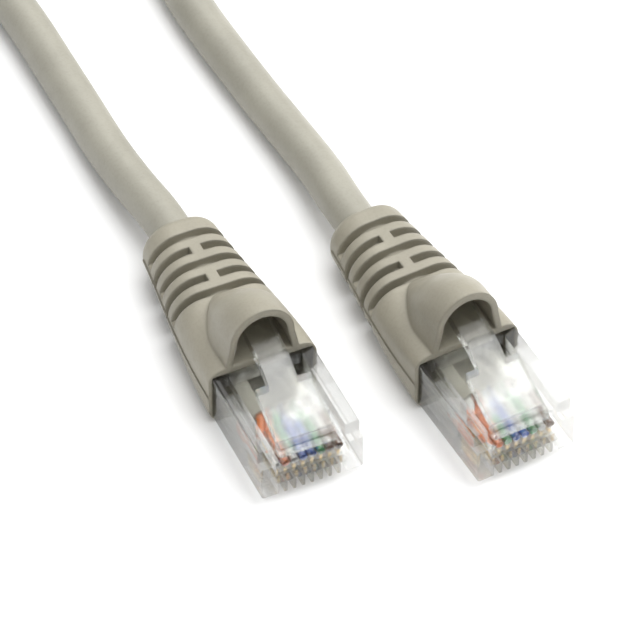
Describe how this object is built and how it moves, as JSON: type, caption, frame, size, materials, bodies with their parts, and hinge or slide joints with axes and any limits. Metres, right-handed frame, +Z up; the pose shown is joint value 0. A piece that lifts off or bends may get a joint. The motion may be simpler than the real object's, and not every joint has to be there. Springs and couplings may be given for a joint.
{
  "type": "network patch cord",
  "caption": "Patch cord: clear modular plugs with sprung latches and ribbed moulded boots on a round data cable.",
  "frame": {"origin": "on the surface the cord lies on, under the middle of the box around the two plugs with their boots", "axes": "+Z up from the surface, +Y from the plug noses towards the cable along end A, +X from end A to end B"},
  "size_m": [0.0433, 0.1821, 0.0145],
  "materials": {
    "clear_plastic": "clear gloss",
    "boot_pvc": "fine matt",
    "jacket_pvc": "fine matt",
    "contact_gold": "gold flash",
    "insulation_white_orange": "satin",
    "insulation_orange": "satin",
    "insulation_white_green": "satin",
    "insulation_blue": "satin",
    "insulation_white_blue": "satin",
    "insulation_green": "satin",
    "insulation_white_brown": "satin",
    "insulation_brown": "satin"
  },
  "bodies": {
    "cord": {"plug_housing_a": "clear_plastic", "boot_a": "boot_pvc", "jacket_end_a": "jacket_pvc", "contact_1_a": "contact_gold", "contact_2_a": "contact_gold", "contact_3_a": "contact_gold", "contact_4_a": "contact_gold", "contact_5_a": "contact_gold", "contact_6_a": "contact_gold", "contact_7_a": "contact_gold", "contact_8_a": "contact_gold", "wire_1_white_orange_a": "insulation_white_orange", "wire_2_orange_a": "insulation_orange", "wire_3_white_green_a": "insulation_white_green", "wire_4_blue_a": "insulation_blue", "wire_5_white_blue_a": "insulation_white_blue", "wire_6_green_a": "insulation_green", "wire_7_white_brown_a": "insulation_white_brown", "wire_8_brown_a": "insulation_brown", "plug_housing_b": "clear_plastic", "boot_b": "boot_pvc", "jacket_end_b": "jacket_pvc", "contact_1_b": "contact_gold", "contact_2_b": "contact_gold", "contact_3_b": "contact_gold", "contact_4_b": "contact_gold", "contact_5_b": "contact_gold", "contact_6_b": "contact_gold", "contact_7_b": "contact_gold", "contact_8_b": "contact_gold", "wire_1_white_orange_b": "insulation_white_orange", "wire_2_orange_b": "insulation_orange", "wire_3_white_green_b": "insulation_white_green", "wire_4_blue_b": "insulation_blue", "wire_5_white_blue_b": "insulation_white_blue", "wire_6_green_b": "insulation_green", "wire_7_white_brown_b": "insulation_white_brown", "wire_8_brown_b": "insulation_brown", "cable_lead_a": "jacket_pvc", "cable_lead_b": "jacket_pvc", "cable_hank": "jacket_pvc"},
    "latch_a": {"latch_a": "clear_plastic"},
    "latch_b": {"latch_b": "clear_plastic"}
  },
  "joints": [
    {"name": "latch_a_flex", "type": "hinge", "parent": "cord", "child": "latch_a", "pos_m": [-0.0105, -0.01256, 0.00545], "axis": [-1, 0, 0], "range_deg": [0, 10], "stiffness_Nm_per_rad": 0.05},
    {"name": "latch_b_flex", "type": "hinge", "parent": "cord", "child": "latch_b", "pos_m": [0.01096, -0.01933, 0.00545], "axis": [-0.9973, -0.0732, 0], "range_deg": [0, 10], "stiffness_Nm_per_rad": 0.05}
  ]
}
